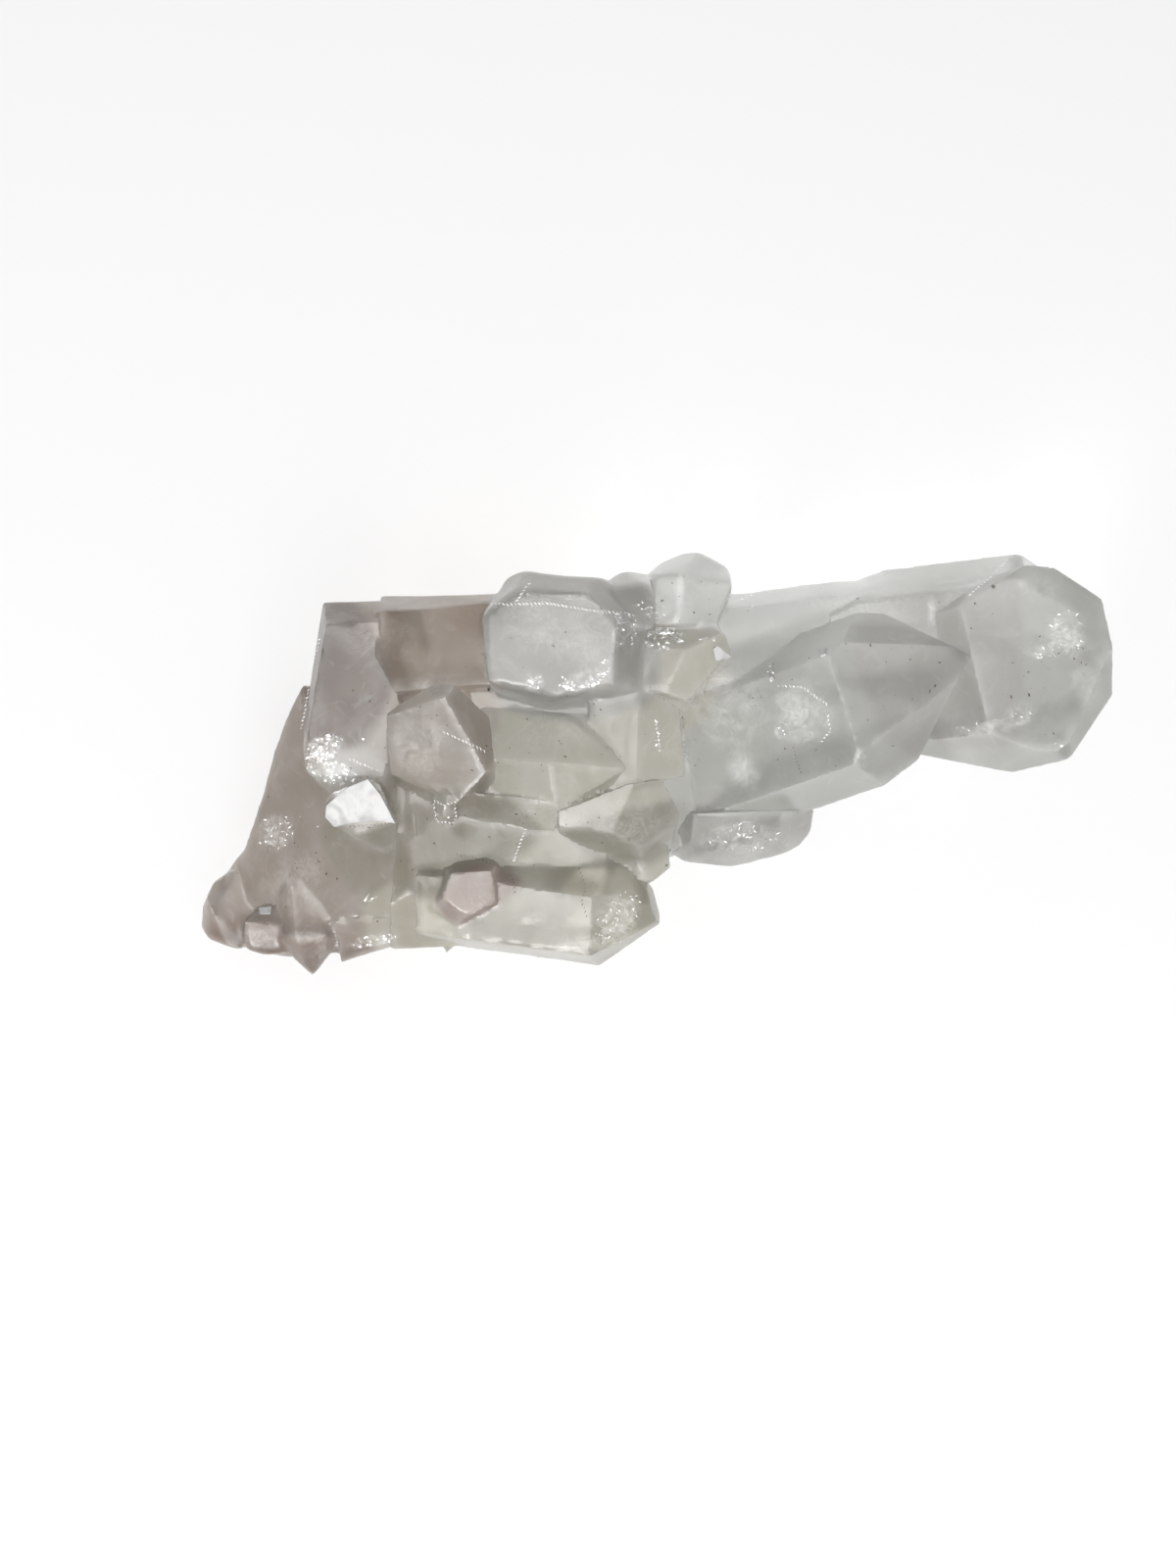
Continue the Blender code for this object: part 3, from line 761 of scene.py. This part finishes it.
def ragged_outline(rng, size, stretch, turn):
    """A broken shape with four to six corners, longer one way."""
    count = rng.randint(4, 6)
    outline = []
    for k in range(count):
        angle = 2 * math.pi * (k + rng.uniform(-0.3, 0.3)) / count
        reach = size * rng.uniform(0.6, 1.0)
        outline.append(turned(reach * stretch * math.cos(angle), reach * math.sin(angle), turn))
    return outline


def oval_spot(at, reach, turn, far, angle):
    """The pixel at this angle in a tilted oval, far being 0 in its middle and 1 on its rim."""
    lean = math.radians(turn)
    x, y = reach[0] * far * math.cos(angle), reach[1] * far * math.sin(angle)
    return at[0] + x * math.cos(lean) + y * math.sin(lean), at[1] - x * math.sin(lean) + y * math.cos(lean)


def random_spot(rng, at, reach, turn):
    """A random pixel in a tilted oval."""
    far = math.sqrt(rng.random())
    return oval_spot(at, reach, turn, far, rng.uniform(0.0, 2 * math.pi))


def veil_corner(skin, veil, drift, share, angle, lower):
    """A corner of a veil, this share of the way to its rim and this much lower than its upper side.

    Where no quartz shows at its pixel, it moves towards the middle of the veil until some does.
    """
    at, reach, turn, _ = veil
    rim = Vector((math.cos(angle), math.sin(angle), 0.0))
    far = share * (1.0 + VEIL_STRAY * noise.noise(drift + rim * VEIL_LOBES))
    place = None
    while place is None:
        spot = oval_spot(at, reach, turn, far, angle)
        wave = noise.noise(drift + Vector((spot[0], spot[1], 0.0)) / VEIL_WAVE)
        depth = VEIL_DEPTH + VEIL_TILT * share * math.cos(angle) + VEIL_TILT * wave
        place = look_under(skin, spot, max(depth, VEIL_LEAST_DEPTH) + lower)
        far *= VEIL_SHRINK
    return place


def dome_faces(first):
    """The faces of one side of a veil, whose corners start at this number: the middle, then ring by ring."""
    faces = []
    for k in range(VEIL_AROUND):
        after = (k + 1) % VEIL_AROUND
        faces.append((first, first + 1 + k, first + 1 + after))
        for ring in range(1, VEIL_RINGS):
            low = first + 1 + (ring - 1) * VEIL_AROUND
            faces.append((low + k, low + VEIL_AROUND + k, low + VEIL_AROUND + after, low + after))
    return faces


def make_veils(skin):
    """Clouds sealed in the crystals: thin closed lenses that lie deeper towards one side."""
    scraps = Scraps()
    for number, veil in enumerate(VEILS):
        drift = Vector((number * 3.1, 1.7, 0.0))
        for side in (0, 1):
            faces = dome_faces(len(scraps.corners))
            scraps.faces += faces if side else [tuple(reversed(face)) for face in faces]
            for ring in range(VEIL_RINGS + 1):
                share = ring / VEIL_RINGS
                lower = side * VEIL_THICKNESS * (1.0 - share)
                for k in range(VEIL_AROUND if ring else 1):
                    angle = 2 * math.pi * k / VEIL_AROUND
                    scraps.corners.append(veil_corner(skin, veil, drift, share, angle, lower))
                    scraps.numbers.append(veil[3] * (1.0 - share ** 2))
    add_piece("veils", scraps.mesh("veils"), veil_material())


def make_cracks(skin):
    """Cracks: crowds of tiny bright flakes at the surface and just beneath it."""
    rng = random.Random(CRACK_SEED)
    scraps = Scraps()
    for at, reach, turn, count, size, stretch in CRACKS:
        for _ in range(count):
            spot = random_spot(rng, at, reach, turn)
            place = look_under(skin, spot, rng.uniform(*FLAKE_DEPTH))
            tilt = direction(LEAN_HEADING + rng.gauss(0, HEADING_SPREAD), rng.gauss(FLAKE_RISE, FLAKE_SPREAD))
            breadth = size * rng.uniform(0.3, 1.0)
            outline = ragged_outline(rng, breadth, stretch, math.radians(turn + rng.gauss(0, FLAKE_SPREAD)))
            if place is not None:
                scraps.flake(place, tilt, outline, FLAKE_THICKNESS)
    add_piece("cracks", scraps.mesh("cracks"), flake_material("flake", 0.5, 0.9))


def make_painted_glints(skin):
    """Painted glints: flat white plates for facets that catch the light.

    They are level with the face at their middle and just proud of it.
    """
    scraps = Scraps()
    for pixels in PAINTED_GLINTS:
        middle = (sum(x for x, y in pixels) / len(pixels), sum(y for x, y in pixels) / len(pixels))
        place, normal = look_at(skin, middle)
        place = place + normal * GLINT_RAISE
        upper = []
        for pixel in reversed(pixels):
            sight = sight_to(pixel)
            upper.append(CAMERA_PLACE + sight * ((place - CAMERA_PLACE).dot(normal) / sight.dot(normal)))
        scraps.block([corner - normal * GLINT_THICKNESS for corner in upper], upper)
    add_piece("painted_glints", scraps.mesh("painted_glints"), painted_glint_material())


def make_lines(skin, name, routes, width, material):
    """Fine threads on the surface, as rows of narrow dashes along routes of pixels."""
    scraps = Scraps()
    rng = random.Random(THREAD_SEED)
    for route in routes:
        for start, end in zip(route, route[1:]):
            pieces = max(1, round(math.dist(start, end) / DASH_SPACING))
            long = DASH_REACH * math.dist(start, end) / pieces / PIXELS_PER_MM
            ahead = math.atan2(start[1] - end[1], end[0] - start[0])
            for k in range(pieces):
                share = (k + 0.5) / pieces
                spot = tuple(a + (b - a) * share + rng.uniform(-DASH_STRAY, DASH_STRAY)
                             for a, b in zip(start, end))
                heading = ahead + rng.uniform(-DASH_TURN, DASH_TURN)
                thin = width * rng.uniform(0.4, 1.0) / 2
                diamond = ((-long, 0.0), (0.0, -thin), (long, 0.0), (0.0, thin))
                place, _ = look_at(skin, spot)
                if place is not None:
                    outline = [turned(x, y, heading) for x, y in diamond]
                    scraps.flake(place, direction(LEAN_HEADING, THREAD_RISE), outline, FLAKE_THICKNESS)
    add_piece(name, scraps.mesh(name), material)


def make_specks(skin):
    """Dark dust: a few larger grains at their places and many tiny ones anywhere."""
    rng = random.Random(SPECK_SEED)
    scraps = Scraps()
    grains = [(spot, SMALL_GRAIN) for spot in SMALL_SPECKS] + [(spot, LARGE_GRAIN) for spot in LARGE_SPECKS]
    for at, reach, turn, count in DUST:
        grains += [(random_spot(rng, at, reach, turn), LEAST_DUST + MORE_DUST * rng.random() ** 2)
                   for _ in range(count)]
    for spot, size in grains:
        place = look_under(skin, spot, rng.uniform(*GRAIN_DEPTH))
        if place is not None:
            tilt = direction(rng.uniform(0, 360), rng.uniform(40, 90))
            outline = ragged_outline(rng, size, rng.uniform(1.0, 3.0), rng.uniform(0, math.pi))
            scraps.flake(place, tilt, outline, size * GRAIN_THICKNESS)
    add_piece("specks", scraps.mesh("specks"), speck_material())


def area_light(name, place, size, power, seen_by_matt=True):
    """A rectangular light that looks at the cluster. Matt and see-through surfaces may be left out of it."""
    data = bpy.data.lights.new(name, "AREA")
    data.shape = "RECTANGLE"
    data.size, data.size_y = size
    data.energy = power
    lamp = bpy.data.objects.new(name, data)
    bpy.context.scene.collection.objects.link(lamp)
    lamp.location = place
    lamp.rotation_mode = "QUATERNION"
    lamp.rotation_quaternion = (LIGHT_TARGET - Vector(place)).to_track_quat("-Z", "Y")
    lamp.visible_diffuse = seen_by_matt
    lamp.visible_transmission = seen_by_matt


def make_studio():
    """A pale floor, soft light all round and from above, and a small light in front that makes glints."""
    mesh = bpy.data.meshes.new("floor")
    corners = [(x * FLOOR_HALF, y * FLOOR_HALF, FLOOR_LEVEL) for x, y in ((-1, -1), (1, -1), (1, 1), (-1, 1))]
    mesh.from_pydata(corners, [], [(0, 1, 2, 3)])
    floor = bpy.data.objects.new("floor", mesh)
    bpy.context.scene.collection.objects.link(floor)
    g = Graph("floor")
    g.set(Base_Color=FLOOR_SHADE, Roughness=0.9)
    mesh.materials.append(g.material)
    world = bpy.data.worlds.new("studio")
    bpy.context.scene.world = world
    world.use_nodes = True
    sky = world.node_tree.nodes["Background"]
    sky.inputs["Color"].default_value = WHITE
    sky.inputs["Strength"].default_value = SKY_STRENGTH
    area_light("glint_light", **GLINT_LIGHT)
    area_light("top_light", **TOP_LIGHT)


def make_camera():
    """The camera, at the photograph's view and framing."""
    data = bpy.data.cameras.new("camera")
    data.sensor_width = SENSOR
    data.lens = SENSOR * FOCUS_DISTANCE * PIXELS_PER_MM / max(PHOTO_SIZE)
    data.clip_start = CLIP_START
    camera = bpy.data.objects.new("camera", data)
    bpy.context.scene.collection.objects.link(camera)
    camera.location = CAMERA_PLACE * MM
    bpy.context.scene.camera = camera
    bpy.context.scene.view_settings.view_transform = "Standard"


skin = make_cluster()
make_veils(skin)
make_cracks(skin)
make_painted_glints(skin)
make_lines(skin, "threads", BRIGHT_LINES, BRIGHT_WIDTH, flake_material("thread", 0.3, 0.75))
make_lines(skin, "seams", DARK_LINES, DARK_WIDTH, speck_material())
make_specks(skin)
make_studio()
make_camera()
